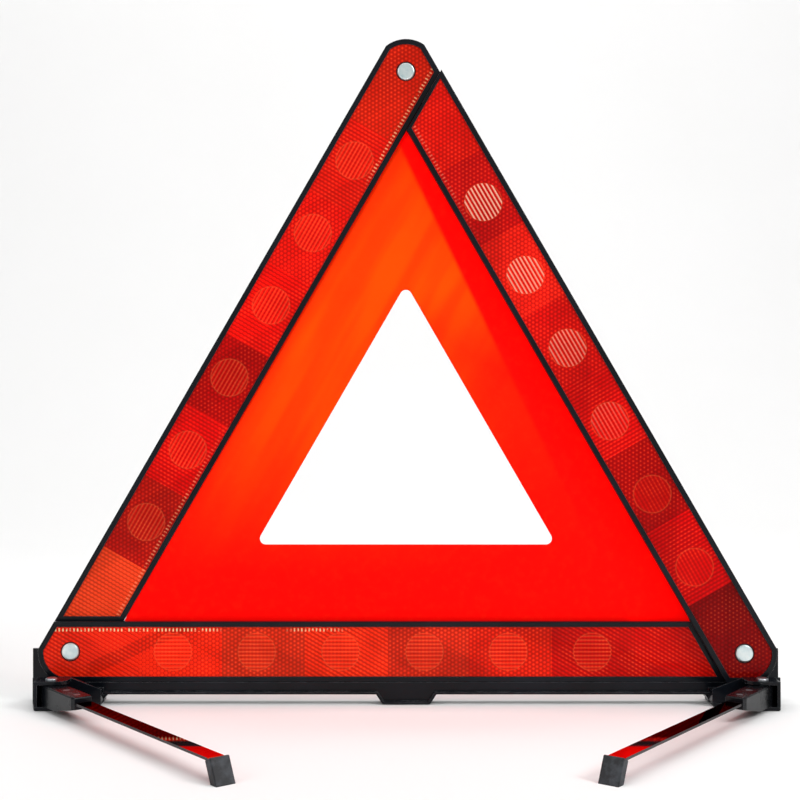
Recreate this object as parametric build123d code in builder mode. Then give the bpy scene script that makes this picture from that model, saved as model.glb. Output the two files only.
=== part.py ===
from build123d import *
from math import sqrt, sin, cos, tan, atan2, radians, pi
import os

# Folding warning triangle. Millimetres, +Z up, the reflecting side faces -Y.
# Origin: on the ground, midway between the two lower corner rivets.

# ---------------------------------------------------------------- dimensions
PITCH = 402.0          # corner rivet to corner rivet, equilateral
RIVET_Z = 31.0         # height of the two lower corner rivets
ARM_H = 18.0           # half width of an arm
ARM_T = 5.0            # thickness of an arm
LAYER = 5.6            # depth step from one arm to the next at a lower corner
HEAD_FLAT = 17.5       # rivet to the slanted end of an arm's head
HEAD_R = 19.4          # rivet to the rounded end of an arm's head
RIM = 3.2              # black rim around the reflector
TAIL_RIM = 2.8         # rim across the arm beyond the reflector's tail end
LENS_T = 2.2           # reflector thickness
LENS_SINK = 0.6        # reflector's front below the rim's front
FLOOR_T = 1.4          # housing floor
TONGUE_R = 15.0        # rounded tongue behind the neighbour's head

RIVET_R = 2.5          # corner rivet shank
RIVET_HEAD_R = 5.25
RUN_FIT = 0.08         # radial clearance of a turning rivet
BOSS_R = 5.8

BASE_X = 226.0         # half width of the end plates
BLOCK_X = 221.4        # outer side of an end block
POCKET_X = 218.0       # outer side of the leg pockets
BLOCK_IN = 181.0       # inner side of an end block
BAR_Z0, BAR_Z1 = 6.2, 13.0
BLOCK_Z = 9.8          # top of the end block under the turning arms
WALL_Y0, WALL_Y1 = 8.7, 10.6
POCKET_Y = 22.0        # front and rear of the leg pockets
POCKET_Z = 17.2        # top of the leg pockets
COVER_T = 2.4          # screwed bottom covers
END_Z = 31.0           # top of the end plates

LEG_X, LEG_Y = 208.6, 17.0   # leg pivots
LEG_REACH = (115.3, 150.2)   # pivot to toe, across and forward
PIN_R = 2.0
PIN_FIT = 0.06
KNUCKLE_R = 6.0
KNUCKLE_L = 42.0
BLADE_W, BLADE_T = 9.2, 1.4
BLADE_Z = 10.3         # underside of the blade
TOE_ANGLE = 65.0       # the blade's end turns down by this much

SHEET_Y, SHEET_T = 2.8, 0.3
OPEN_SIDE = 181.0      # side of the opening in the sheet
OPEN_R = 3.6

C30 = cos(radians(30))
S30 = 0.5
HALF = PITCH / 2
TOP_Z = RIVET_Z + PITCH * C30
TOP_Y = LAYER / 2


def write(part, name):
    part.label = name
    export_step(part, "parts/" + name + ".step")


os.makedirs("parts", exist_ok=True)


# ---------------------------------------------------------------- arms
# In an arm's own plane X runs from the head rivet to the tail rivet, Y points
# to the inside of the triangle and Z to the front.
def arm_plane(head, tail, inward):
    s = (Vector(*tail) - Vector(*head)).normalized()
    f = s.cross(Vector(*inward)).normalized()
    return Plane(origin=head, x_dir=(s.X, s.Y, s.Z), z_dir=(f.X, f.Y, f.Z))


P_BOTTOM = arm_plane((-HALF, 0, RIVET_Z), (HALF, 0, RIVET_Z), (0, 0, 1))
P_LEFT = arm_plane((0, TOP_Y, TOP_Z), (-HALF, LAYER, RIVET_Z), (C30, 0, -S30))
P_RIGHT = arm_plane((HALF, -LAYER, RIVET_Z), (0, -TOP_Y, TOP_Z), (-C30, 0, -S30))

# where the neighbour's inner edge crosses the arm: s = EDGE_S - v * SLOPE
EDGE_S = PITCH - ARM_H / C30
SLOPE = tan(radians(30))


def outline(inset, end_s):
    """Closed outline of an arm, drawn in by inset, ending on a slant at end_s."""
    h, flat, rad = ARM_H - inset, HEAD_FLAT - inset, HEAD_R - inset
    run = sqrt(rad**2 - flat**2)
    p1 = (-(flat - S30 * h) / C30, h)
    p2 = (-flat * C30 - S30 * run, flat * S30 - C30 * run)
    p3 = (-sqrt(rad**2 - h**2), -h)
    a = (atan2(p2[1], p2[0]) % (2 * pi) + atan2(p3[1], p3[0]) % (2 * pi)) / 2
    mid = (rad * cos(a), rad * sin(a))
    with BuildLine() as loop:
        Line(p1, p2)
        ThreePointArc(p2, mid, p3)
        Polyline(p3, (end_s + h * SLOPE, -h), (end_s - h * SLOPE, h), p1)
    return loop.edges()


HEM_AT = [(62 + 68.0 * k, ARM_H - 1.5) for k in range(5)]
SCREW_X = (-150.0, -62.0, 62.0, 150.0)
SCREW_R = 1.2


def arm_housing(head_hole, tail_hole, screwed):
    """Black tray with a rim; tail_hole None means a plain cut tail with no tongue."""
    tongue = tail_hole is not None
    flat = Plane.XY
    lens_end = EDGE_S - TAIL_RIM
    with BuildPart() as housing:
        with BuildSketch(flat.offset(-ARM_T / 2)):
            make_face(outline(0, EDGE_S + 1.3 if tongue else EDGE_S - 0.45))
            if tongue:
                with Locations((PITCH - 14, 0)):
                    Rectangle(28, 2 * TONGUE_R)
                with Locations((PITCH, 0)):
                    Circle(TONGUE_R)
        extrude(amount=ARM_T)
        fillet(housing.faces().sort_by(Axis.Z)[-1].edges(), 0.55)
        chamfer(housing.faces().sort_by(Axis.Z)[0].edges(), 0.35)
        # seat for the reflector, then the air gap behind it
        with BuildSketch(flat.offset(ARM_T / 2)):
            make_face(outline(RIM - 0.1, lens_end + 0.1))
        extrude(amount=-(LENS_SINK + LENS_T), mode=Mode.SUBTRACT)
        with BuildSketch(flat.offset(ARM_T / 2 - LENS_SINK - LENS_T)):
            make_face(outline(RIM + 1.2, lens_end - 1.4))
        extrude(amount=-(ARM_T - LENS_SINK - LENS_T - FLOOR_T), mode=Mode.SUBTRACT)
        # rivet boss standing through the reflector
        with BuildSketch(flat.offset(-ARM_T / 2 + 0.5)):
            Circle(BOSS_R)
        extrude(amount=ARM_T / 2 - 0.5 + 1.1)
        with BuildSketch(flat.offset(-ARM_T / 2 - 1)):
            Circle(head_hole)
            if tongue:
                with Locations((PITCH, 0)):
                    Circle(tail_hole)
        extrude(amount=ARM_T + 2, mode=Mode.SUBTRACT)
        # shallow panels in the back between stiffening ribs
        with BuildSketch(flat.offset(-ARM_T / 2)):
            with Locations(*[(38 + 47.0 * k, -1.0) for k in range(7)]):
                RectangleRounded(41, 21, 2.5)
        extrude(amount=0.5, mode=Mode.SUBTRACT)
        # counterbored holes for the hem rivets
        with BuildSketch(flat.offset(-ARM_T / 2)):
            with Locations(*HEM_AT):
                Circle(1.3)
        extrude(amount=0.6, mode=Mode.SUBTRACT)
        with BuildSketch(flat.offset(-ARM_T / 2)):
            with Locations(*HEM_AT):
                Circle(0.8)
        extrude(amount=3.4, mode=Mode.SUBTRACT)
        if screwed:
            # pilot holes in the lower rim for the screws from the base
            with BuildSketch(Plane(origin=(0, -ARM_H - 1, 0), x_dir=(1, 0, 0), z_dir=(0, 1, 0))):
                with Locations(*[(HALF + x, 0) for x in SCREW_X]):
                    Circle(SCREW_R)
            extrude(amount=3.6, mode=Mode.SUBTRACT)
    return housing.part


with BuildPart() as reflector:
    with BuildSketch(Plane.XY.offset(ARM_T / 2 - LENS_SINK - LENS_T)):
        make_face(outline(RIM, EDGE_S - TAIL_RIM))
        Circle(BOSS_R + 0.1, mode=Mode.SUBTRACT)
    extrude(amount=LENS_T)

with BuildPart() as hem_pins:
    with BuildSketch(Plane.XY.offset(-ARM_T / 2)):
        with Locations(*HEM_AT):
            Circle(1.3)
    extrude(amount=0.6)
    with BuildSketch(Plane.XY.offset(-ARM_T / 2)):
        with Locations(*HEM_AT):
            Circle(0.8)
    extrude(amount=3.4)

write(P_BOTTOM.location * arm_housing(RIVET_R, RIVET_R, True), "bottom_arm_housing")
write(P_LEFT.location * arm_housing(RIVET_R, RIVET_R + RUN_FIT, False), "left_arm_housing")
write(P_RIGHT.location * arm_housing(RIVET_R + RUN_FIT, None, False), "right_arm_housing")
for name, pl in (("bottom", P_BOTTOM), ("left", P_LEFT), ("right", P_RIGHT)):
    write(pl.location * reflector.part, name + "_arm_reflector")
    write(pl.location * hem_pins.part, name + "_hem_rivets")


# ---------------------------------------------------------------- corner rivets
def rivet(z_seat, z_back, back_head):
    """Domed head on z_seat, shank down to z_back, peened head behind."""
    with BuildPart() as riv:
        with BuildSketch(Plane.XY.offset(z_seat)):
            Circle(RIVET_HEAD_R)
        extrude(amount=1.6)
        fillet(riv.edges().sort_by(Axis.Z)[-1], 1.2)
        with BuildSketch(Plane.XY.offset(z_back - 1.0)):
            Circle(back_head)
        extrude(amount=1.0)
        chamfer(riv.edges().sort_by(Axis.Z)[0], 0.5)
        with BuildSketch(Plane.XY.offset(z_back)):
            Circle(RIVET_R)
        extrude(amount=z_seat - z_back)
    return riv.part


def washer(z0, r_out, thick):
    with BuildPart() as ring:
        with BuildSketch(Plane.XY.offset(z0)):
            Circle(r_out)
            Circle(RIVET_R, mode=Mode.SUBTRACT)
        extrude(amount=-thick)
    return ring.part


P_L = Plane(origin=(-HALF, 0, RIVET_Z), x_dir=(1, 0, 0), z_dir=(0, -1, 0))
P_R = Plane(origin=(HALF, 0, RIVET_Z), x_dir=(1, 0, 0), z_dir=(0, -1, 0))

write(P_L.location * rivet(1.1, -9.5, 4.2), "left_corner_rivet")
write(P_L.location * washer(-8.5, 6.0, 1.0), "left_corner_washer")
write(P_R.location * rivet(LAYER + 1.1 + 0.15, -3.5, 4.2), "right_corner_rivet")
write(P_R.location * washer(-2.5, 6.0, 1.0), "right_corner_washer")
write(P_LEFT.location * rivet(1.1, -6.2, 3.6), "top_stud")

# ---------------------------------------------------------------- top catch
# Springy hook behind the right arm's tail. It reaches behind the left arm's
# head and grips the top stud; its mouth opens outwards and down.
with BuildPart() as catch:
    with BuildSketch(P_RIGHT.offset(-ARM_T / 2)):
        with BuildLine():
            Polyline(
                (EDGE_S - 20 - 9.5 * SLOPE, 9.5),
                (EDGE_S - 20 - 0.0 * SLOPE, 0.0),
                (EDGE_S - 1.6 - 0.0 * SLOPE, 0.0),
                (EDGE_S - 1.6 - 9.5 * SLOPE, 9.5),
                (EDGE_S - 20 - 9.5 * SLOPE, 9.5),
            )
        make_face()
    extrude(amount=-7.5)
    with BuildSketch(P_RIGHT.offset(-8.6)):
        with Locations((PITCH - 16, 3.75)):
            Rectangle(32, 7.5)
        with Locations((PITCH, 0)):
            Circle(7.5)
        with Locations((PITCH, 0)):
            Circle(RIVET_R + 0.35, mode=Mode.SUBTRACT)
        with Locations((PITCH - 0.5 * 5, -C30 * 5)):
            Rectangle(10, 4.7, rotation=60, mode=Mode.SUBTRACT)
    extrude(amount=-1.4)
write(catch.part, "top_catch")

# ---------------------------------------------------------------- base
SIDES = (-1, 1)


def box(x0, x1, y0, y1, z0, z1, mode=Mode.ADD):
    with Locations(((x0 + x1) / 2, (y0 + y1) / 2, (z0 + z1) / 2)):
        Box(x1 - x0, y1 - y0, z1 - z0, mode=mode)


def mirror_box(side, x0, x1, *rest, **kw):
    a, b = sorted((side * x0, side * x1))
    box(a, b, *rest, **kw)


with BuildPart() as base:
    # bar under the bottom arm with the trapezoid tab in the middle
    with BuildSketch(Plane.XZ.offset(-2.4)):
        with BuildLine():
            Polyline(
                (-BLOCK_IN, BAR_Z0), (-18, BAR_Z0), (-14.2, 0.4), (14.2, 0.4),
                (18, BAR_Z0), (BLOCK_IN, BAR_Z0), (BLOCK_IN, BAR_Z1),
                (-BLOCK_IN, BAR_Z1), (-BLOCK_IN, BAR_Z0),
            )
        make_face()
    extrude(amount=4.8)
    # lips along the bar's lower edge and around the tab, front and rear
    with BuildSketch(Plane.XZ.offset(-5.4)):
        with BuildLine():
            Polyline(
                (-BLOCK_IN, BAR_Z0), (-18, BAR_Z0), (-14.2, 0.4), (14.2, 0.4),
                (18, BAR_Z0), (BLOCK_IN, BAR_Z0), (BLOCK_IN, BAR_Z0 + 1.3),
                (17.2, BAR_Z0 + 1.3), (13.4, 1.7), (-13.4, 1.7),
                (-17.2, BAR_Z0 + 1.3), (-BLOCK_IN, BAR_Z0 + 1.3), (-BLOCK_IN, BAR_Z0),
            )
        make_face()
    extrude(amount=10.8)
    for s in SIDES:
        # end block, pocket walls, side wall and end plate
        mirror_box(s, BLOCK_IN, BLOCK_X, -WALL_Y0, WALL_Y0, COVER_T, BLOCK_Z)
        mirror_box(s, BLOCK_IN, 206.0, -2.4, 2.4, BLOCK_Z, BAR_Z1)
        for y in SIDES:
            mirror_box(s, BLOCK_IN, BLOCK_X, min(y * WALL_Y0, y * WALL_Y1), max(y * WALL_Y0, y * WALL_Y1), COVER_T, POCKET_Z)
            with BuildSketch(Plane.XY.offset(15.2)):
                with BuildLine():
                    Polyline(
                        (s * POCKET_X, y * (WALL_Y1 - 0.5)), (s * POCKET_X, y * POCKET_Y), (s * 206, y * POCKET_Y),
                        (s * 202, y * 20.8), (s * 199.6, y * 18.2), (s * 198.8, y * 15), (s * 198.8, y * (WALL_Y1 - 0.5)),
                        (s * POCKET_X, y * (WALL_Y1 - 0.5)),
                    )
                make_face()
            extrude(amount=POCKET_Z - 15.2)
            mirror_box(s, 216.2, POCKET_X, min(y * WALL_Y1, y * POCKET_Y), max(y * WALL_Y1, y * POCKET_Y), COVER_T, 15.2)
        mirror_box(s, BLOCK_IN, BASE_X, WALL_Y0, WALL_Y1, POCKET_Z, END_Z)
        mirror_box(s, BLOCK_X, BASE_X, WALL_Y0, WALL_Y1, COVER_T, POCKET_Z)
        mirror_box(s, BLOCK_X + 0.3, BASE_X, WALL_Y0, WALL_Y1, 0.4, COVER_T + 0.2)
    # room for the peened end of the lower rivets
    with BuildSketch(Plane.XZ.offset(-WALL_Y0 + 0.5)):
        with Locations((-HALF, RIVET_Z), (HALF, RIVET_Z)):
            Circle(8.2)
    extrude(amount=-4, mode=Mode.SUBTRACT)
    # the inner upper corner of each end plate slopes down to the pocket
    for s in SIDES:
        with BuildSketch(Plane.XZ.offset(-WALL_Y0 + 0.5)):
            with BuildLine():
                Polyline((s * 170, POCKET_Z), (s * 181, POCKET_Z), (s * 193, END_Z), (s * 193, END_Z + 4), (s * 170, END_Z + 4), (s * 170, POCKET_Z))
            make_face()
        extrude(amount=-4, mode=Mode.SUBTRACT)
        # the pocket's front wall slopes down to the bar, so it leaves the arm in view
        with BuildSketch(Plane.XZ.offset(WALL_Y1 + 0.2)):
            with BuildLine():
                Polyline((s * 170, 10.4), (s * 181, 10.4), (s * 198.8, POCKET_Z), (s * 198.8, END_Z), (s * 170, END_Z), (s * 170, 10.4))
            make_face()
        extrude(amount=-(WALL_Y1 - WALL_Y0 + 0.4), mode=Mode.SUBTRACT)
    # pivot pin holes, cover screw holes, arm screw holes
    for x in SIDES:
        for y in SIDES:
            with BuildSketch(Plane.XY.offset(COVER_T)):
                with Locations((x * LEG_X, y * LEG_Y)):
                    Circle(PIN_R)
            extrude(amount=POCKET_Z - COVER_T + 0.2, mode=Mode.SUBTRACT)
    with BuildSketch(Plane.XY.offset(COVER_T)):
        with Locations((-213, 0), (-190, 0), (190, 0), (213, 0)):
            Circle(1.3)
    extrude(amount=5.0, mode=Mode.SUBTRACT)
    with BuildSketch(Plane.XY.offset(BAR_Z0 - 0.5)):
        with Locations(*[(x, 0) for x in SCREW_X]):
            Circle(SCREW_R)
    extrude(amount=8, mode=Mode.SUBTRACT)
    with BuildSketch(Plane.XY.offset(BAR_Z0 - 0.5)):
        with Locations(*[(x, 0) for x in SCREW_X]):
            Circle(2.2)
    extrude(amount=2.1, mode=Mode.SUBTRACT)
    # rounded inside corner between bar and end block
    for s in SIDES:
        with BuildSketch(Plane.XZ.offset(-2.4)):
            with BuildLine():
                Line((s * 181.5, BAR_Z0 + 0.5), (s * 181.5, 1.2))
                Line((s * 181.5, 1.2), (s * 180.9, 1.2))
                ThreePointArc((s * 180.9, 1.2), (s * 179.3, 4.8), (s * 175.8, BAR_Z0 + 0.02))
                Polyline((s * 175.8, BAR_Z0 + 0.02), (s * 175.8, BAR_Z0 + 0.5), (s * 181.5, BAR_Z0 + 0.5))
            make_face()
        extrude(amount=4.8)
write(base.part, "base_body")

for name, s in (("base_cover_left", -1), ("base_cover_right", 1)):
    with BuildPart() as cover:
        with BuildSketch(Plane.XY):
            with BuildLine():
                Polyline(
                    (s * POCKET_X, POCKET_Y), (s * 204, POCKET_Y), (s * 194, 13.5), (s * 181.6, WALL_Y1),
                    (s * 181.6, -WALL_Y1), (s * 194, -13.5), (s * 204, -POCKET_Y), (s * POCKET_X, -POCKET_Y),
                    (s * BLOCK_X, -WALL_Y1), (s * BLOCK_X, WALL_Y1), (s * POCKET_X, POCKET_Y),
                )
            make_face()
        extrude(amount=COVER_T)
        upright = cover.edges().filter_by(Axis.Z)
        fillet(upright, 2.0)
        chamfer(cover.faces().sort_by(Axis.Z)[0].edges(), 0.5)
        with BuildSketch(Plane.XY.offset(1.0)):
            with Locations(*[(s * LEG_X, y * LEG_Y) for y in SIDES]):
                Circle(PIN_R)
        extrude(amount=2, mode=Mode.SUBTRACT)
        with Locations((s * 190, 0, 0), (s * 213, 0, 0)):
            Cylinder(1.3, 10, mode=Mode.SUBTRACT)
        with Locations((s * 190, 0, 0.6), (s * 213, 0, 0.6)):
            Cylinder(2.6, 1.4, mode=Mode.SUBTRACT)
    write(cover.part, name)

with BuildPart() as cover_screws:
    for x in (-213, -190, 190, 213):
        with BuildSketch(Plane.XY.offset(0.3)):
            with Locations((x, 0)):
                Circle(2.5)
        extrude(amount=1.0)
        with BuildSketch(Plane.XY.offset(1.3)):
            with Locations((x, 0)):
                Circle(1.3)
        extrude(amount=5.6)
        with BuildSketch(Plane.XY.offset(0.3)):
            with Locations((x, 0)):
                Rectangle(3.0, 0.6)
                Rectangle(0.6, 3.0)
        extrude(amount=0.5, mode=Mode.SUBTRACT)
write(cover_screws.part, "base_cover_screws")

with BuildPart() as arm_screws:
    for x in SCREW_X:
        with BuildSketch(Plane.XY.offset(BAR_Z0 + 0.1)):
            with Locations((x, 0)):
                Circle(2.1)
        extrude(amount=1.5)
        with BuildSketch(Plane.XY.offset(BAR_Z0 + 1.6)):
            with Locations((x, 0)):
                Circle(SCREW_R)
        extrude(amount=7.6)
        with BuildSketch(Plane.XY.offset(BAR_Z0 + 0.1)):
            with Locations((x, 0)):
                Rectangle(2.6, 0.5)
                Rectangle(0.5, 2.6)
        extrude(amount=0.6, mode=Mode.SUBTRACT)
write(arm_screws.part, "bottom_arm_screws")

with BuildPart() as pins:
    for x in SIDES:
        for y in SIDES:
            with BuildSketch(Plane.XY.offset(1.0)):
                with Locations((x * LEG_X, y * LEG_Y)):
                    Circle(PIN_R)
            extrude(amount=16.4)
            with BuildSketch(Plane.XY.offset(POCKET_Z)):
                with Locations((x * LEG_X, y * LEG_Y)):
                    Circle(3.6)
            extrude(amount=1.4)
            fillet(pins.edges().group_by(Axis.Z)[-1], 0.9)
write(pins.part, "leg_pivot_pins")

# ---------------------------------------------------------------- legs
reach = sqrt(LEG_REACH[0] ** 2 + LEG_REACH[1] ** 2)
TOE_X, TOE_Z = 186.3, BLADE_Z + BLADE_T / 2
cd, sd = cos(radians(TOE_ANGLE)), sin(radians(TOE_ANGLE))
half_t = BLADE_T / 2
turn = half_t * tan(radians(TOE_ANGLE / 2))
TOE_END = (TOE_X + 9.0 * cd / sd, TOE_Z - 9.0)


def blade_face(start):
    """Side view of the blade: flat from start, then turned down into the toe."""
    with BuildLine() as loop:
        up_end = (TOE_END[0] + half_t * sd, TOE_END[1] + half_t * cd)
        lo_end = (TOE_END[0] - half_t * sd, TOE_END[1] - half_t * cd)
        FilletPolyline((start, TOE_Z + half_t), (TOE_X + turn, TOE_Z + half_t), up_end, radius=3.75)
        Line(up_end, lo_end)
        FilletPolyline(lo_end, (TOE_X - turn, TOE_Z - half_t), (start, TOE_Z - half_t), radius=2.25)
        Line((start, TOE_Z - half_t), (start, TOE_Z + half_t))
    return loop.edges()


FLAT = Plane.XY
SIDE = Plane.XZ

with BuildPart() as knuckle:
    with BuildSketch(FLAT.offset(2.8)):
        Circle(KNUCKLE_R)
        with BuildLine():
            Polyline((0, -6.0), (KNUCKLE_L - 3, -6.0), (KNUCKLE_L, -5.2), (KNUCKLE_L, 5.2), (KNUCKLE_L - 3, 6.0), (0, 6.0), (0, -6.0))
        make_face()
    extrude(amount=12.0)
    fillet(knuckle.faces().sort_by(Axis.Z)[-1].edges(), 0.9)
    # the underside rises towards the blade
    with BuildSketch(SIDE.offset(-8)):
        with BuildLine():
            Polyline((14, 2.0), (KNUCKLE_L + 2, 2.0), (KNUCKLE_L + 2, 8.4), (14, 2.0))
        make_face()
    extrude(amount=16, mode=Mode.SUBTRACT)
    with BuildSketch(FLAT.offset(2)):
        Circle(PIN_R + PIN_FIT)
    extrude(amount=14, mode=Mode.SUBTRACT)
    with BuildSketch(SIDE.offset(-BLADE_W / 2)):
        with Locations(((12 + KNUCKLE_L + 2) / 2, TOE_Z)):
            Rectangle(KNUCKLE_L - 10, BLADE_T)
    extrude(amount=BLADE_W, mode=Mode.SUBTRACT)
    with BuildSketch(FLAT.offset(BLADE_Z - 3)):
        with Locations((20, 0), (34, 0)):
            Circle(1.2)
    extrude(amount=8, mode=Mode.SUBTRACT)
    with BuildSketch(FLAT.offset(14.0)):
        with Locations((20, 0), (34, 0)):
            Circle(2.0)
    extrude(amount=2, mode=Mode.SUBTRACT)

with BuildPart() as blade:
    with BuildSketch(SIDE.offset(-BLADE_W / 2)):
        make_face(blade_face(12))
    extrude(amount=BLADE_W)
    with BuildSketch(FLAT.offset(BLADE_Z - 1)):
        with Locations((20, 0), (34, 0)):
            Circle(1.2)
    extrude(amount=4, mode=Mode.SUBTRACT)

with BuildPart() as leg_rivets:
    with BuildSketch(FLAT.offset(BLADE_Z - 3)):
        with Locations((20, 0), (34, 0)):
            Circle(1.2)
    extrude(amount=14.0 - BLADE_Z + 3)
    with BuildSketch(FLAT.offset(14.0)):
        with Locations((20, 0), (34, 0)):
            Circle(2.0)
    extrude(amount=0.7)

with BuildPart() as toe:
    k = 2.7
    c0 = (TOE_X + 0.2, TOE_Z + 0.55)
    a = (c0[0] + k * sd, c0[1] + k * cd)
    b = (c0[0] - k * sd, c0[1] - k * cd)
    with BuildSketch(SIDE.offset(-5.5)):
        with BuildLine():
            Polyline(a, (a[0] + a[1] * cd / sd, 0), (b[0] + b[1] * cd / sd, 0), b, a)
        make_face()
    extrude(amount=11)
    lower = toe.edges().group_by(Axis.Z)[0]
    fillet(toe.edges() - lower, 0.7)
    with BuildSketch(SIDE.offset(-BLADE_W / 2)):
        make_face(blade_face(TOE_X - 12))
    extrude(amount=BLADE_W, mode=Mode.SUBTRACT)

for prefix, sx, sy in (("front_left", -1, -1), ("front_right", 1, -1), ("rear_left", -1, 1), ("rear_right", 1, 1)):
    here = Plane(
        origin=(sx * LEG_X, sy * LEG_Y, 0),
        x_dir=(-sx * LEG_REACH[0] / reach, sy * LEG_REACH[1] / reach, 0),
        z_dir=(0, 0, 1),
    )
    write(here.location * knuckle.part, prefix + "_leg_knuckle")
    write(here.location * blade.part, prefix + "_leg_blade")
    write(here.location * leg_rivets.part, prefix + "_leg_rivets")
    write(here.location * toe.part, prefix + "_leg_toe")

# ---------------------------------------------------------------- cloth sheet
CENTRE_Z = RIVET_Z + PITCH * C30 / 3


def edge_line(off):
    """Distance of a sheet edge from the triangle's centre, off from the arm's middle line."""
    return PITCH * C30 / 3 - off


with BuildPart() as sheet:
    with BuildSketch(Plane.XZ.offset(-SHEET_Y - SHEET_T / 2)):
        # outer edges: clear of the left arm, tucked behind the right and bottom arms
        left, right, low = edge_line(ARM_H + 0.35), edge_line(ARM_H - 5), edge_line(ARM_H - 5)
        with BuildLine():
            def meet(n1, d1, n2, d2):
                det = n1[0] * n2[1] - n1[1] * n2[0]
                return ((d1 * n2[1] - d2 * n1[1]) / det, CENTRE_Z + (n1[0] * d2 - n2[0] * d1) / det)
            nl, nr, nb = (-C30, S30), (C30, S30), (0.0, -1.0)
            top, bl, br = meet(nl, left, nr, right), meet(nl, left, nb, low), meet(nr, right, nb, low)
            cut_z = TOP_Z - 35
            tl = (top[0] - (top[1] - cut_z) * SLOPE, cut_z)
            tr = (top[0] + (top[1] - cut_z) * SLOPE, cut_z)
            Polyline(tl, tr, br, bl, tl)
        make_face()
        with BuildLine():
            tri = [(0, CENTRE_Z + 2 * OPEN_SIDE * SLOPE / 2), (-OPEN_SIDE / 2, CENTRE_Z - OPEN_SIDE * SLOPE / 2), (OPEN_SIDE / 2, CENTRE_Z - OPEN_SIDE * SLOPE / 2)]
            FilletPolyline(*tri, radius=OPEN_R, close=True)
        make_face(mode=Mode.SUBTRACT)
    extrude(amount=SHEET_T)
write(sheet.part, "cloth_panel")
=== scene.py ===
import bpy
import bmesh
import math
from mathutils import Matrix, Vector, noise


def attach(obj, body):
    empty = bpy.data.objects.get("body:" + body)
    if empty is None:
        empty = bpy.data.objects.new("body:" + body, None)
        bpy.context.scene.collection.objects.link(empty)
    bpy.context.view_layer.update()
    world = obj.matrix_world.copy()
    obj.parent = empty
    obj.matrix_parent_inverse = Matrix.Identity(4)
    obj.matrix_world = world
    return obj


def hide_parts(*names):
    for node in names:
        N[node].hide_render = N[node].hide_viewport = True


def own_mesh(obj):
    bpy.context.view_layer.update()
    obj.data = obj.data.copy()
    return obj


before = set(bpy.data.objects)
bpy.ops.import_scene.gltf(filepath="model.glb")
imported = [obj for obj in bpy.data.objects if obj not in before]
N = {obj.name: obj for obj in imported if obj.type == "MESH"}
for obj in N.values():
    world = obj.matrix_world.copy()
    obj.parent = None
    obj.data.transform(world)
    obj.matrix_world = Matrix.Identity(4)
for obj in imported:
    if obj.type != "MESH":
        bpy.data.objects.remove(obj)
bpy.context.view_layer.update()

# ---------------------------------------------------------------- node helper
class Net:
    """Small helper that writes shader maths as plain calls."""

    def __init__(self, name):
        self.mat = bpy.data.materials.new(name)
        self.mat.use_nodes = True
        self.nt = self.mat.node_tree
        self.nt.nodes.clear()
        self.out = self.nt.nodes.new("ShaderNodeOutputMaterial")
        self.bsdf = self.nt.nodes.new("ShaderNodeBsdfPrincipled")
        self.nt.links.new(self.bsdf.outputs[0], self.out.inputs[0])
        self.co = self.nt.nodes.new("ShaderNodeTexCoord").outputs["Object"]

    def put(self, sock, v):
        if isinstance(v, bpy.types.NodeSocket):
            self.nt.links.new(v, sock)
        else:
            sock.default_value = v

    def m(self, op, a, b=0.0, c=0.0, clamp=False):
        n = self.nt.nodes.new("ShaderNodeMath")
        n.operation = op
        n.use_clamp = clamp
        for i, x in enumerate((a, b, c)):
            self.put(n.inputs[i], x)
        return n.outputs[0]

    def dot(self, v, d):
        n = self.nt.nodes.new("ShaderNodeVectorMath")
        n.operation = "DOT_PRODUCT"
        self.put(n.inputs[0], v)
        self.put(n.inputs[1], d)
        return n.outputs["Value"]

    def sub(self, v, d):
        n = self.nt.nodes.new("ShaderNodeVectorMath")
        n.operation = "SUBTRACT"
        self.put(n.inputs[0], v)
        self.put(n.inputs[1], d)
        return n.outputs[0]

    def mix(self, f, a, b):
        n = self.nt.nodes.new("ShaderNodeMix")
        n.data_type = "RGBA"
        self.put(n.inputs[0], f)
        self.put(n.inputs[6], a)
        self.put(n.inputs[7], b)
        return n.outputs[2]

    def smooth(self, x, lo, hi, a=0.0, b=1.0):
        n = self.nt.nodes.new("ShaderNodeMapRange")
        n.interpolation_type = "SMOOTHSTEP"
        self.put(n.inputs[0], x)
        for i, q in enumerate((lo, hi, a, b)):
            n.inputs[1 + i].default_value = q
        return n.outputs[0]

    def ramp(self, x, stops, constant=True):
        n = self.nt.nodes.new("ShaderNodeValToRGB")
        n.color_ramp.interpolation = "CONSTANT" if constant else "EASE"
        el = n.color_ramp.elements
        while len(el) > 1:
            el.remove(el[-1])
        el[0].position, el[0].color = stops[0]
        for p, c in stops[1:]:
            e = el.new(p)
            e.color = c
        self.put(n.inputs[0], x)
        return n.outputs[0]

    def noise(self, v, scale, detail=3.0, rough=0.5):
        n = self.nt.nodes.new("ShaderNodeTexNoise")
        self.put(n.inputs["Vector"], v)
        n.inputs["Scale"].default_value = scale
        n.inputs["Detail"].default_value = detail
        n.inputs["Roughness"].default_value = rough
        return n.outputs["Fac"]

    def bump(self, h, dist, strength=1.0, normal=None):
        n = self.nt.nodes.new("ShaderNodeBump")
        n.inputs["Strength"].default_value = strength
        n.inputs["Distance"].default_value = dist
        self.put(n.inputs["Height"], h)
        if normal is not None:
            self.put(n.inputs["Normal"], normal)
        return n.outputs[0]

    def set(self, **kw):
        for k, v in kw.items():
            self.put(self.bsdf.inputs[k.replace("_", " ")], v)
        return self.mat


def paint(node, mat):
    o = N[node] if isinstance(node, str) else node
    if not o.material_slots:
        o.data.materials.append(mat)
    for sl in o.material_slots:
        sl.link = "OBJECT"
        sl.material = mat


def srgb(r, g, b):
    def f(c):
        c /= 255
        return c / 12.92 if c <= 0.04045 else ((c + 0.055) / 1.055) ** 2.4
    return (f(r), f(g), f(b), 1.0)


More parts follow.
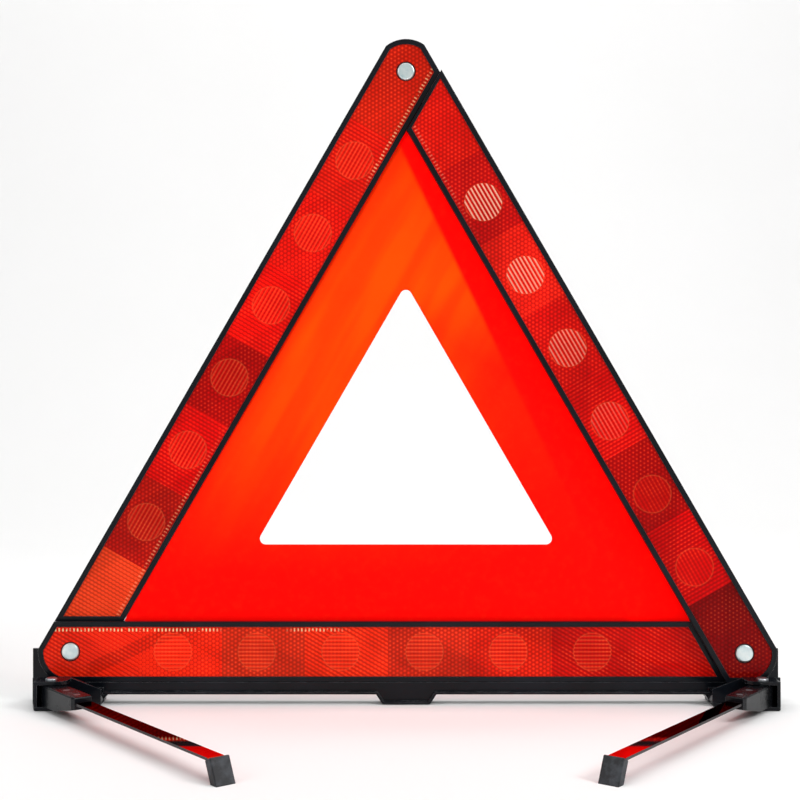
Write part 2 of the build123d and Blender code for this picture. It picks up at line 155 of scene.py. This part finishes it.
# ---------------------------------------------------------------- arm geometry
PITCH = 0.402
C30 = math.cos(math.radians(30))
HALF, RZ = 0.201, 0.031
TOPZ = RZ + PITCH * C30
ARMS = {
    "left": (Vector((0, 0.0028, TOPZ)), Vector((-HALF, 0.0056, RZ)), Vector((C30, 0, -0.5))),
    "bottom": (Vector((-HALF, 0, RZ)), Vector((HALF, 0, RZ)), Vector((0, 0, 1))),
    "right": (Vector((HALF, -0.0056, RZ)), Vector((0, -0.0028, TOPZ)), Vector((-C30, 0, -0.5))),
}

# ---------------------------------------------------------------- black plastic
def plastic(name, tint=(0.0035, 0.0045, 0.0065), rough=0.2, edge=0.0004):
    t = Net(name)
    fine = t.noise(t.co, 900.0, 2.0, 0.6)
    flow = t.noise(t.co, 22.0, 4.0, 0.55)
    smear = t.noise(t.co, 140.0, 3.0, 0.6)
    col = t.mix(t.smooth(flow, 0.35, 0.7), tint + (1.0,), (tint[0] * 1.9, tint[1] * 2.0, tint[2] * 2.1, 1.0))
    r = t.m("ADD", t.m("MULTIPLY", smear, 0.16), rough - 0.06)
    bev = t.nt.nodes.new("ShaderNodeBevel")
    bev.samples = 4
    bev.inputs["Radius"].default_value = edge
    n = t.bump(fine, 0.00003, 0.5, bev.outputs[0])
    n = t.bump(flow, 0.0012, 0.25, n)
    # edges painted lighter in patches: a painted highlight along the bevels, also standing for rubbed wear
    geo = t.nt.nodes.new("ShaderNodeNewGeometry")
    rim = t.smooth(t.dot(bev.outputs[0], geo.outputs["Normal"]), 0.97, 0.80)
    edge_highlight_and_wear = t.m("MULTIPLY", rim, t.smooth(smear, 0.35, 0.62, 0.12, 0.55))
    col = t.mix(edge_highlight_and_wear, col, (0.30, 0.31, 0.33, 1.0))
    return t.set(Base_Color=col, Roughness=r, Normal=n, IOR=1.5, Specular_IOR_Level=0.15, Coat_Weight=0.05, Coat_Roughness=0.06)


BLACK = plastic("moulded_black")
BLACK_ARM = plastic("arm_black", rough=0.16, edge=0.0003)
KNUCKLE = plastic("knuckle_black", tint=(0.003, 0.0035, 0.0045), rough=0.24)
for n in ("base_body", "base_cover_left", "base_cover_right", "top_catch"):
    paint(n, BLACK)
for a in ARMS:
    paint(a + "_arm_housing", BLACK_ARM)

# ---------------------------------------------------------------- metal
def metal(name, col, rough, scratch=0.000004):
    t = Net(name)
    a = t.noise(t.co, 260.0, 4.0, 0.65)
    cloud = t.noise(t.co, 120.0, 3.0, 0.6)
    c = t.mix(t.smooth(cloud, 0.35, 0.68), col + (1.0,), (col[0] * 0.72, col[1] * 0.82, col[2] * 0.85, 1.0))
    r = t.m("ADD", t.m("MULTIPLY", a, 0.18), rough)
    n = t.bump(a, 0.00002, 0.5)
    if scratch:
        s = t.noise(t.co, 700.0, 2.0, 0.5)
        n = t.bump(s, scratch, 0.3, n)
    return t.set(Base_Color=c, Metallic=1.0, Roughness=r, Normal=n)


ZINC = metal("bright_zinc", (0.86, 0.95, 0.94), 0.30)
SCREW = metal("screw_zinc", (0.42, 0.43, 0.45), 0.26)
for n in ("left_corner_rivet", "right_corner_rivet", "top_stud", "left_corner_washer", "right_corner_washer",
          "left_hem_rivets", "right_hem_rivets", "bottom_hem_rivets"):
    paint(n, ZINC)
for n in ("base_cover_screws", "bottom_arm_screws", "leg_pivot_pins"):
    paint(n, SCREW)


def blade_steel():
    t = Net("polished_strip")
    long = t.noise(t.co, 18.0, 3.0, 0.5)
    fine = t.noise(t.co, 1600.0, 2.0, 0.6)
    nrm = t.nt.nodes.new("ShaderNodeTexCoord").outputs["Normal"]
    # painted shade: the strip's side faces are painted near-black and matt, the top and bottom stay bright steel
    top = t.smooth(t.m("ABSOLUTE", t.dot(nrm, (0, 0, 1))), 0.5, 0.9)
    # painted reflection: dark maroon over the inner part, where the strip reflects the scene, lighter towards
    # the toe
    far = t.smooth(t.m("ABSOLUTE", t.dot(t.co, (0, 1, 0))), 0.126, 0.133)
    reflection_dark = t.mix(t.smooth(long, 0.35, 0.7), (0.20, 0.13, 0.13, 1.0), (0.15, 0.10, 0.10, 1.0))
    c = t.mix(far, reflection_dark, (0.50, 0.42, 0.44, 1.0))
    c = t.mix(top, (0.012, 0.011, 0.012, 1.0), c)
    r = t.m("ADD", t.m("MULTIPLY", long, 0.04), 0.01)
    n = t.bump(long, 0.0003, 0.02)
    n = t.bump(fine, 0.000001, 0.1, n)
    # painted reflection: the specular colour is tinted maroon over the inner part
    tint = t.mix(far, (0.34, 0.22, 0.22, 1.0), (0.9, 0.8, 0.8, 1.0))
    return t.set(Base_Color=c, Specular_Tint=tint, Metallic=top, Roughness=t.m("ADD", r, t.m("MULTIPLY_ADD", top, -0.35, 0.35)), Normal=n)


def rubber():
    t = Net("toe_rubber")
    fine = t.noise(t.co, 1500.0, 3.0, 0.7)
    dust = t.noise(t.co, 160.0, 4.0, 0.6)
    c = t.mix(t.smooth(dust, 0.4, 0.7), (0.006, 0.007, 0.010, 1.0), (0.045, 0.052, 0.062, 1.0))
    bev = t.nt.nodes.new("ShaderNodeBevel")
    bev.samples = 4
    bev.inputs["Radius"].default_value = 0.0006
    n = t.bump(fine, 0.00006, 0.6, bev.outputs[0])
    return t.set(Base_Color=c, Roughness=t.m("ADD", t.m("MULTIPLY", dust, 0.2), 0.45), Normal=n)


STEEL, TOE = blade_steel(), rubber()
for q in ("front_left", "front_right", "rear_left", "rear_right"):
    paint(q + "_leg_knuckle", KNUCKLE)
    paint(q + "_leg_blade", STEEL)
    paint(q + "_leg_rivets", SCREW)
    paint(q + "_leg_toe", TOE)

# ---------------------------------------------------------------- reflectors
# block colours from head to tail: the lens red, with painted light and shade in each block's level; then how the
# cells in each block run:
# 0 hexagonal cells, 1 ribs across the arm, 2 ribs slanting
BLOCK_RED_AND_LIGHT = {
    "left": [(206, 30, 10), (212, 21, 8), (226, 19, 8), (222, 13, 5), (178, 7, 5), (212, 10, 6), (183, 19, 9), (220, 58, 24)],
    "bottom": [(232, 36, 12), (240, 38, 12), (216, 46, 20), (230, 42, 14), (206, 40, 18), (212, 30, 11), (184, 14, 7), (190, 12, 6)],
    "right": [(124, 4, 4), (198, 4, 4), (168, 6, 5), (200, 9, 6), (206, 13, 8), (226, 26, 14), (198, 13, 11), (216, 20, 9)],
}
CELLS = {"left": [0, 1, 0, 1, 0, 1, 0, 1], "bottom": [2, 0, 0, 2, 0, 0, 2, 2], "right": [0, 1, 0, 1, 0, 0, 0, 0]}
TAU = 2 * math.pi


def reflector(arm):
    head, tail, inward = ARMS[arm]
    sdir = (tail - head).normalized()
    t = Net(arm + "_prismatic_red")
    p = t.sub(t.co, tuple(head))
    s = t.m("MULTIPLY", t.dot(p, tuple(sdir)), 1000.0)
    v = t.m("MULTIPLY", t.dot(p, tuple(inward)), 1000.0)
    edges = [-40.0] + [39.6 + 49.7 * k for k in range(7)]
    pos = [(e + 40.0) / 440.0 for e in edges]
    x = t.m("DIVIDE", t.m("ADD", s, 40.0), 440.0, clamp=True)
    tint = t.ramp(x, [(q, srgb(*c)) for q, c in zip(pos, BLOCK_RED_AND_LIGHT[arm])])
    kind = t.ramp(x, [(q, (k / 2, k / 2, k / 2, 1)) for q, k in zip(pos, CELLS[arm])])
    P = 2.2

    def wave(u, w=None, pitch=P, ph=0.0):
        a = t.m("MULTIPLY_ADD", u, TAU / pitch, ph)
        return t.m("COSINE", a)

    # hexagonal cells
    a1 = wave(s)
    a2 = wave(t.m("ADD", t.m("MULTIPLY", s, 0.5), t.m("MULTIPLY", v, C30)))
    a3 = wave(t.m("SUBTRACT", t.m("MULTIPLY", s, 0.5), t.m("MULTIPLY", v, C30)))
    hexa = t.m("DIVIDE", t.m("ADD", t.m("ADD", t.m("ADD", a1, a2), a3), 1.5), 4.5)
    # ribs across, slanting, and along
    across = t.m("MULTIPLY_ADD", a1, 0.5, 0.5)
    slant = t.m("MULTIPLY_ADD", wave(t.m("ADD", t.m("MULTIPLY", s, 0.5), t.m("MULTIPLY", v, C30))), 0.5, 0.5)
    along = t.m("MULTIPLY_ADD", wave(v), 0.5, 0.5)
    is1 = t.m("COMPARE", kind, 0.5, 0.1)
    is2 = t.m("COMPARE", kind, 1.0, 0.1)

    def pick(f, a, b):
        n = t.nt.nodes.new("ShaderNodeMix")
        t.put(n.inputs[0], f)
        t.put(n.inputs[2], a)
        t.put(n.inputs[3], b)
        return n.outputs[0]

    ribs_a = t.m("ADD", t.m("MULTIPLY", across, 0.5), t.m("MULTIPLY", hexa, 0.5))
    cells = pick(is1, hexa, ribs_a)
    cells = pick(is2, cells, t.m("ADD", t.m("MULTIPLY", slant, 0.6), t.m("MULTIPLY", hexa, 0.4)))
    # round lenses
    first = {"left": 61.8, "bottom": 61.4, "right": 59.2}[arm]
    k = t.m("ROUND", t.m("DIVIDE", t.m("SUBTRACT", s, first), 50.2))
    k = t.m("MINIMUM", t.m("MAXIMUM", k, 0.0), 5.0)
    ds = t.m("SUBTRACT", s, t.m("MULTIPLY_ADD", k, 50.2, first))
    rad = t.m("SQRT", t.m("ADD", t.m("MULTIPLY", ds, ds), t.m("MULTIPLY", v, v)))
    disc = t.smooth(rad, 11.0, 11.4, 1.0, 0.0)
    rim_highlight = t.m("MULTIPLY", t.smooth(rad, 10.5, 11.1), t.smooth(rad, 11.3, 11.8, 1.0, 0.0))
    pin = t.smooth(t.m("SQRT", t.m("ADD", t.m("MULTIPLY", s, s), t.m("MULTIPLY", v, v))), 6.0, 9.0)
    cells = pick(disc, cells, t.m("ADD", t.m("MULTIPLY", along, 0.75), t.m("MULTIPLY", across, 0.25)))
    # broad facets that pick up light differently
    big = t.noise(t.co, 16.0, 2.0, 0.5)
    mid = t.noise(t.co, 60.0, 3.0, 0.55)
    facet = t.m("PINGPONG", t.m("ADD", t.m("MULTIPLY", s, 0.5), t.m("MULTIPLY", v, C30)), 26.0)
    facet = t.smooth(facet, 11.5, 12.5)
    shade = t.m("ADD", t.m("MULTIPLY", t.smooth(big, 0.35, 0.65), 0.22), t.m("MULTIPLY", facet, 0.10))
    shade = t.m("ADD", shade, t.m("MULTIPLY", t.smooth(mid, 0.3, 0.7), 0.12))
    level = t.m("ADD", shade, 0.62)
    # painted reflection: a dark diagonal band across the bottom arm's prisms
    if arm == "bottom":
        reflection_band = t.m("ADD", t.m("MULTIPLY", s, 0.42), t.m("MULTIPLY", v, -0.9))
        reflection_band = t.m("MULTIPLY", t.smooth(reflection_band, 10.0, 11.0), t.smooth(reflection_band, 18.0, 19.0, 1.0, 0.0))
        reflection_band = t.m("MULTIPLY", reflection_band, t.smooth(s, 6.0, 14.0))
        level = t.m("MULTIPLY", level, t.m("MULTIPLY_ADD", reflection_band, -0.24, 1.0))
    # cell contrast
    gain = t.m("MULTIPLY_ADD", cells, 0.62, 0.62)
    level = t.m("MULTIPLY", level, gain)
    scaled = t.nt.nodes.new("ShaderNodeVectorMath")
    scaled.operation = "SCALE"
    t.put(scaled.inputs[0], tint)
    t.put(scaled.inputs["Scale"], t.m("MULTIPLY", level, 1.54))
    col = scaled.outputs[0]
    # orange light caught by the tips of the cells
    tips = t.m("MULTIPLY", t.smooth(cells, 0.62, 0.95), t.smooth(mid, 0.42, 0.62))
    glow = {"left": 0.16, "bottom": 0.2, "right": 0.14}[arm]
    col = t.mix(t.m("MULTIPLY", tips, glow), col, (1.0, 0.2, 0.05, 1.0))
    # lens discs: painted lighter, with a painted highlight on the rim, and their stripes painted near white by
    # light towards one end of the right arm
    col = t.mix(t.m("MULTIPLY", disc, 0.16), col, srgb(250, 26, 6))
    col = t.mix(t.m("MULTIPLY", rim_highlight, 0.18), col, (0.9, 0.16, 0.05, 1.0))
    stripe = t.smooth(t.m("MULTIPLY_ADD", wave(v, pitch=2.35), 0.5, 0.5), 0.5, 0.82)
    if arm == "right":
        lit = t.smooth(s, 110.0, 330.0, 0.0, 1.0)
        col = t.mix(t.m("MULTIPLY", t.m("MULTIPLY", stripe, disc), t.m("MULTIPLY", lit, 0.85)), col, (1.0, 0.52, 0.36, 1.0))
    else:
        col = t.mix(t.m("MULTIPLY", t.m("MULTIPLY", stripe, disc), 0.10), col, (1.0, 0.3, 0.1, 1.0))
    # painted glints (sparkle) along the inner edge
    row = t.m("MULTIPLY", t.smooth(v, 11.9, 12.5), t.smooth(v, 13.7, 14.3, 1.0, 0.0))
    dots = t.smooth(t.m("MULTIPLY_ADD", wave(s), 0.5, 0.5), 0.55, 0.85)
    where = {
        "left": t.m("ADD", t.smooth(s, 75.0, 55.0), t.m("MULTIPLY", t.smooth(s, 230.0, 300.0), 0.5)),
        "bottom": t.m("ADD", t.smooth(s, 92.0, 84.0), t.m("MULTIPLY", t.smooth(s, 128.0, 134.0), t.smooth(s, 150.0, 170.0, 0.8, 0.0))),
        "right": t.m("MULTIPLY", t.smooth(s, 280.0, 350.0), 0.35),
    }[arm]
    glint = t.m("MULTIPLY", t.m("MULTIPLY", row, dots), where, clamp=True)
    glint = t.m("MULTIPLY", glint, t.smooth(t.noise(t.co, 420.0, 1.0), 0.30, 0.52))
    col = t.mix(glint, col, {"left": (1.0, 0.42, 0.2, 1.0), "bottom": (1.0, 0.80, 0.42, 1.0), "right": (1.0, 0.3, 0.18, 1.0)}[arm])
    height = t.m("MULTIPLY", cells, 1.0)
    n = t.bump(height, 0.00022, 0.55)
    rough = t.m("MULTIPLY_ADD", mid, 0.14, 0.24)
    return t.set(Base_Color=col, Roughness=rough, Normal=n, IOR=1.49, Coat_Weight=0.05, Coat_Roughness=0.05,
                 Specular_IOR_Level=0.05)


for a in ARMS:
    paint(a + "_arm_reflector", reflector(a))

# ---------------------------------------------------------------- cloth
EDGE = PITCH * C30 / 3
CZ = RZ + EDGE
WIN = 0.181


def line_meet(n1, d1, n2, d2):
    det = n1[0] * n2[1] - n1[1] * n2[0]
    return ((d1 * n2[1] - d2 * n1[1]) / det, CZ + (n1[0] * d2 - n2[0] * d1) / det)


def cloth_mesh():
    nl, nr, nb = (-C30, 0.5), (C30, 0.5), (0.0, -1.0)
    dl, dr, db = EDGE - 0.0184, EDGE - 0.0135, EDGE - 0.0135
    out = [line_meet(nl, dl, nr, dr), line_meet(nl, dl, nb, db), line_meet(nr, dr, nb, db)]
    h = WIN * math.tan(math.radians(30)) / 2
    inn = [(0, CZ + 2 * h), (-WIN / 2, CZ - h), (WIN / 2, CZ - h)]
    r, per, rows = 0.0036, 72, 22
    # window outline with rounded corners, and the matching outer outline
    ring_i, ring_o = [], []
    for c in range(3):
        a, b, prev = Vector(inn[c]), Vector(inn[(c + 1) % 3]), Vector(inn[c - 1])
        A, B = Vector(out[c]), Vector(out[(c + 1) % 3])
        e1, e0 = (b - a).normalized(), (prev - a).normalized()
        cut = r / math.tan(math.radians(30))
        cen = a + (e1 + e0).normalized() * (r / math.sin(math.radians(30)))
        steps = 8
        start = a + e0 * cut
        v0, v1 = start - cen, a + e1 * cut - cen
        ang = v0.angle_signed(v1)
        arc = []
        for i in range(steps + 1):
            th = -ang * i / steps
            arc.append(cen + Vector((v0.x * math.cos(th) - v0.y * math.sin(th), v0.x * math.sin(th) + v0.y * math.cos(th))))
        Ap = Vector(out[c - 1])
        for i, q in enumerate(arc):
            f = (i / steps - 0.5) * 2
            w = 0.018 * f
            ring_i.append(q)
            ring_o.append(A + ((B - A) if w > 0 else (Ap - A)) * abs(w))
        p0, p1 = a + e1 * cut, b - e1 * cut
        for i in range(1, per):
            f = i / per
            ring_i.append(p0.lerp(p1, f))
            ring_o.append(A.lerp(B, 0.018 + f * 0.964))
    bm = bmesh.new()
    grid = []
    count = len(ring_i)
    for j in range(rows + 1):
        u = (j / rows) ** 1.15
        line = []
        for i in range(count):
            q = ring_i[i].lerp(ring_o[i], u)
            x, z = q
            free = math.sin(math.pi * min(max(u, 0.0), 1.0)) ** 0.6 if u > 0 else 0.0
            near_out = min(1.0, (1 - u) * 3.2)
            w = noise.noise(Vector((x * 9.0, 3.1, z * 9.0))) * 0.9 + noise.noise(Vector((x * 26.0, 7.7, z * 26.0))) * 0.35
            # tension folds that run out from the window's lower corners
            fold = 0.0
            for cx, cz, dirx, dirz in ((-WIN / 2, CZ - h, -0.93, -0.36), (WIN / 2, CZ - h, 0.93, -0.36), (0, CZ + 2 * h, 0.08, 1.0)):
                dx, dz = x - cx, z - cz
                tt = dx * dirx + dz * dirz
                off = dx * -dirz + dz * dirx
                if tt > 0:
                    fold += math.exp(-((off / (0.006 + tt * 0.12)) ** 2)) * min(1, tt / 0.02) * 0.5
            y = 0.0028 - (0.0007 + 0.0007 * w + 0.0006 * fold) * near_out
            line.append(bm.verts.new((x, min(max(y, 0.0009), 0.00285), z)))
        grid.append(line)
    for j in range(rows):
        for i in range(count):
            k = (i + 1) % count
            bm.faces.new((grid[j][i], grid[j][k], grid[j + 1][k], grid[j + 1][i]))
    bm.normal_update()
    # the upper corner ends below the right arm's catch
    bmesh.ops.bisect_plane(bm, geom=bm.verts[:] + bm.edges[:] + bm.faces[:], plane_co=(0, 0, TOPZ - 0.035),
                           plane_no=(0, 0, 1), clear_outer=True)
    me = bpy.data.meshes.new("cloth_sheet")
    bm.to_mesh(me)
    bm.free()
    for f in me.polygons:
        f.use_smooth = True
    return me, out


def cloth_material():
    t = Net("fluorescent_cloth")
    sep = t.nt.nodes.new("ShaderNodeSeparateXYZ")
    t.put(sep.inputs[0], t.co)
    x, z = sep.outputs[0], sep.outputs[2]
    # threads
    U, W = 0.00034, 0.00034
    wx = t.m("SINE", t.m("MULTIPLY", x, TAU / U))
    wz = t.m("SINE", t.m("MULTIPLY", z, TAU / W))
    weave = t.m("MULTIPLY_ADD", t.m("MULTIPLY", wx, wz), 0.5, 0.5)
    slub = t.noise(t.co, 300.0, 3.0, 0.6)
    cloud = t.noise(t.co, 14.0, 3.0, 0.5)
    # distance from the right arm's inner edge, and height
    dr = t.m("SUBTRACT", EDGE - 0.018, t.m("ADD", t.m("MULTIPLY", x, C30), t.m("MULTIPLY", t.m("SUBTRACT", z, CZ), 0.5)))
    dl = t.m("SUBTRACT", EDGE - 0.018, t.m("ADD", t.m("MULTIPLY", x, -C30), t.m("MULTIPLY", t.m("SUBTRACT", z, CZ), 0.5)))
    # the painted shadow of the right arm, beside its inner edge, widens downwards
    shadow_width = t.m("MULTIPLY_ADD", t.m("SUBTRACT", 0.336, z), 0.081, 0.0068)
    lit = t.smooth(t.m("SUBTRACT", dr, shadow_width), -0.0008, 0.0026)
    # painted light: orange higher up and to the left, red lower down and in the painted shadow
    high = t.smooth(z, 0.07, 0.2)
    leftness = t.smooth(x, 0.07, -0.03)
    f = t.m("MULTIPLY", high, t.m("MULTIPLY_ADD", leftness, 0.85, 0.12))
    f = t.m("MAXIMUM", f, t.m("MULTIPLY", t.smooth(z, 0.18, 0.255), 0.95))
    f = t.m("MULTIPLY", f, lit)
    f = t.m("MULTIPLY", f, t.m("MULTIPLY_ADD", t.smooth(cloud, 0.3, 0.7), 0.22, 0.82))
    # painted shade: redder along the left arm's inner edge
    f = t.m("MULTIPLY", f, t.smooth(dl, 0.0, 0.012, 0.45, 1.0))
    # painted highlight streaks that run down beside the left arm
    stretch = t.nt.nodes.new("ShaderNodeCombineXYZ")
    t.put(stretch.inputs[0], t.m("MULTIPLY", dl, 62.0))
    t.put(stretch.inputs[1], t.m("MULTIPLY", t.m("ADD", t.m("MULTIPLY", x, 0.5), t.m("MULTIPLY", z, C30)), 7.0))
    highlight_streak = t.smooth(t.noise(stretch.outputs[0], 1.0, 2.0), 0.36, 0.62, 0.66, 1.06)
    f = t.m("MULTIPLY", f, highlight_streak, clamp=True)
    col = t.mix(f, (0.98, 0.003, 0.002, 1.0), (1.0, 0.072, 0.0012, 1.0))
    col = t.mix(t.m("MULTIPLY", t.smooth(slub, 0.45, 0.75), 0.04), col, (1.0, 0.12, 0.02, 1.0))
    # thread weave and slub bumps
    n = t.bump(weave, 0.00004, 0.35)
    n = t.bump(slub, 0.00012, 0.25, n)
    # painted light: emission stands in for fluorescence, stronger in the painted shadow beside the right arm
    glow = t.mix(f, (1.0, 0.0, 0.0, 1.0), (1.0, 0.055, 0.0, 1.0))
    return t.set(Base_Color=col, Roughness=0.78, Normal=n, Sheen_Weight=0.0, Sheen_Roughness=0.5,
                 Emission_Color=glow, Emission_Strength=t.m("MULTIPLY_ADD", t.m("SUBTRACT", 1.0, lit), 0.24, 0.34), Specular_IOR_Level=0.03)


CLOTH = cloth_material()
me, corners = cloth_mesh()
sheet = bpy.data.objects.new("cloth_sheet", me)
bpy.context.scene.collection.objects.link(sheet)
sheet.data.materials.append(CLOTH)


def solidify(o, th):
    mod = o.modifiers.new("thick", "SOLIDIFY")
    mod.thickness = th
    mod.offset = 0
    dg = bpy.context.evaluated_depsgraph_get()
    new = bpy.data.meshes.new_from_object(o.evaluated_get(dg))
    o.modifiers.clear()
    o.data = new
    for p in o.data.polygons:
        p.use_smooth = True


solidify(sheet, 0.00028)
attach(sheet, "base")
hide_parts("cloth_panel")
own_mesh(sheet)

# cloth lap behind the left arm's inner edge, sewn to that arm
def lap_mesh():
    head, tail, inward = ARMS["left"]
    sdir = (tail - head).normalized()
    back = inward.cross(sdir).normalized()
    if back.y < 0:
        back = -back
    bm = bmesh.new()
    rows = []
    ns, nv = 60, 5
    for i in range(ns + 1):
        s = 0.0285 + (0.3765 - 0.0285) * i / ns
        line = []
        for j in range(nv + 1):
            v = 0.0095 + 0.0115 * j / nv
            d = 0.00295 + 0.00012 * math.sin(i * 0.9 + j)
            s2 = min(s, 0.3800 - v * 0.577)
            line.append(bm.verts.new(head + sdir * s2 + inward * v + back * d))
        rows.append(line)
    for i in range(ns):
        for j in range(nv):
            bm.faces.new((rows[i][j], rows[i][j + 1], rows[i + 1][j + 1], rows[i + 1][j]))
    m = bpy.data.meshes.new("cloth_lap")
    bm.to_mesh(m)
    bm.free()
    for p in m.polygons:
        p.use_smooth = True
    return m


lap = bpy.data.objects.new("cloth_lap", lap_mesh())
bpy.context.scene.collection.objects.link(lap)
lap.data.materials.append(CLOTH)
solidify(lap, 0.00028)
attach(lap, "left_arm")

# ---------------------------------------------------------------- stage
def backdrop():
    bm = bmesh.new()
    prof = [(-2.4, 0.0), (0.9, 0.0)]
    R = 0.9
    for i in range(1, 25):
        a = math.pi / 2 * i / 24
        prof.append((0.9 + R * math.sin(a), R - R * math.cos(a)))
    prof.append((0.9 + R, 3.2))
    cols = []
    for x in [-3.2 + 0.4 * k for k in range(17)]:
        cols.append([bm.verts.new((x, y, z)) for y, z in prof])
    for a, b in zip(cols, cols[1:]):
        for i in range(len(prof) - 1):
            bm.faces.new((a[i], b[i], b[i + 1], a[i + 1]))
    m = bpy.data.meshes.new("studio_sweep")
    bm.to_mesh(m)
    bm.free()
    for p in m.polygons:
        p.use_smooth = True
    o = bpy.data.objects.new("studio_sweep", m)
    bpy.context.scene.collection.objects.link(o)
    t = Net("pale_sweep")
    g = t.noise(t.co, 3.0, 2.0)
    c = t.mix(g, (0.93, 0.93, 0.93, 1), (0.90, 0.90, 0.895, 1))
    o.data.materials.append(t.set(Base_Color=c, Roughness=0.9, Specular_IOR_Level=0.1))
    return o


backdrop()
world = bpy.data.worlds.new("studio")
bpy.context.scene.world = world
world.use_nodes = True
world.node_tree.nodes["Background"].inputs[0].default_value = (1, 1, 1, 1)
world.node_tree.nodes["Background"].inputs[1].default_value = 0.22


def area(name, loc, target, size, power, col=(1, 1, 1)):
    l = bpy.data.lights.new(name, "AREA")
    l.shape = "RECTANGLE"
    l.size, l.size_y = size
    l.energy = power
    l.color = col
    o = bpy.data.objects.new(name, l)
    o.location = loc
    o.rotation_euler = (Vector(target) - Vector(loc)).to_track_quat("-Z", "Y").to_euler()
    bpy.context.scene.collection.objects.link(o)
    return o


area("key_right", (1.25, -0.75, 1.15), (0, 0, 0.2), (0.6, 0.6), 13)
area("fill_left", (-1.5, -0.9, 1.0), (0, 0, 0.2), (0.9, 0.9), 6)
area("top_soft", (0, -0.5, 1.9), (0, 0.1, 0), (1.8, 1.0), 7)
area("front_card", (0, -2.5, 0.7), (0, 0, 0.25), (2.4, 1.8), 6)
area("sweep_wash", (0, 0.35, 2.3), (0, 1.35, 0.45), (3.4, 0.9), 34)

# the plain transform keeps the saturated reds that a filmic one greys
bpy.context.scene.view_settings.view_transform = "Standard"
bpy.context.scene.view_settings.look = "None"

# ---------------------------------------------------------------- camera
cam = bpy.data.cameras.new("camera")
cam.sensor_width = 36.0
cam.lens = 60.0
cam.shift_x = (400 - 365.5) / 800
cam.shift_y = 0.0
cam.clip_start = 0.01
cam.clip_end = 50
co = bpy.data.objects.new("camera", cam)
co.location = (-0.0243, -0.8, 0.1817)
co.rotation_euler = (math.radians(90), 0, 0)
bpy.context.scene.collection.objects.link(co)
bpy.context.scene.camera = co
